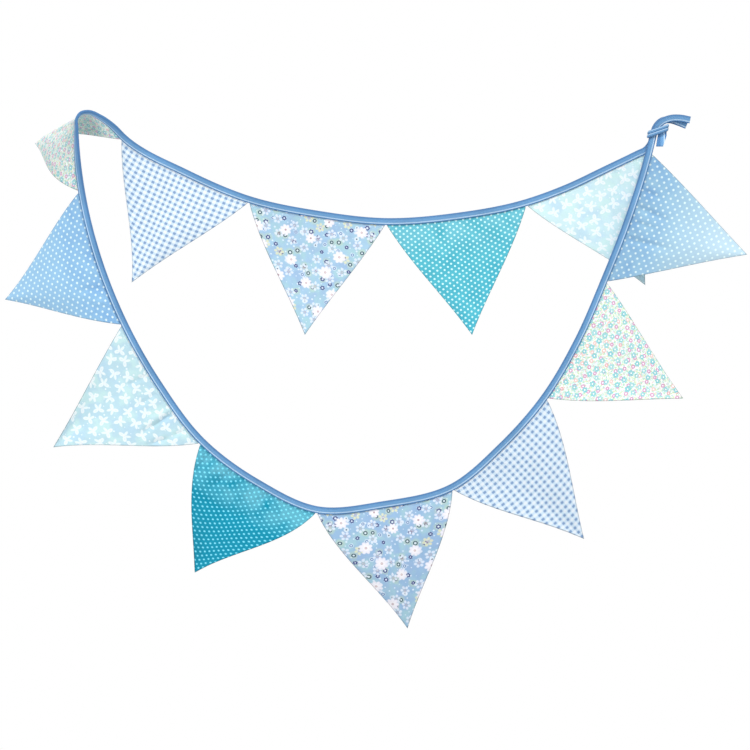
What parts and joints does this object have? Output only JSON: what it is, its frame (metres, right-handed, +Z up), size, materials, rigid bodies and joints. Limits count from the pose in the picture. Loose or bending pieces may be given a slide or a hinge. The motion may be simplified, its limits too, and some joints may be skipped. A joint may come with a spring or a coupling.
{
  "type": "fabric bunting",
  "caption": "Triangular double-sided cotton flags on a narrow folded bias tape, hanging in a back and a front swag that share a turn at one end and a tie at the other.",
  "frame": {"origin": "middle of the tie where the tape's two ends meet, at the top right seen from the front", "axes": "+X along the swags, from the turn towards the tie; +Z up; the front, with the lower swag, faces -Y"},
  "size_m": [0.9696, 0.1748, 0.6767],
  "materials": {
    "bias_tape": "fine cotton weave, pressed folds, one line of stitching",
    "bow_print": "matt cotton, white bows on pale aqua",
    "teal_dot_print": "matt cotton, small white dots on teal",
    "daisy_print": "matt cotton, white daisies and small flowers on sky blue",
    "gingham_print": "matt woven gingham in white and pale blue",
    "small_flower_print": "matt cotton, small turquoise and pink flowers on white",
    "blue_dot_print": "matt cotton, small white dots on pale blue"
  },
  "bodies": {
    "root": {"flag_01": "bow_print", "flag_02": "teal_dot_print", "flag_03": "daisy_print", "flag_04": "gingham_print", "flag_05": "small_flower_print", "flag_06": "blue_dot_print", "flag_07": "bow_print", "flag_08": "teal_dot_print", "flag_09": "daisy_print", "flag_10": "gingham_print", "flag_11": "small_flower_print", "flag_12": "blue_dot_print", "binding": "bias_tape", "tie_wrap": "bias_tape", "tie_loop": "bias_tape"}
  },
  "joints": []
}
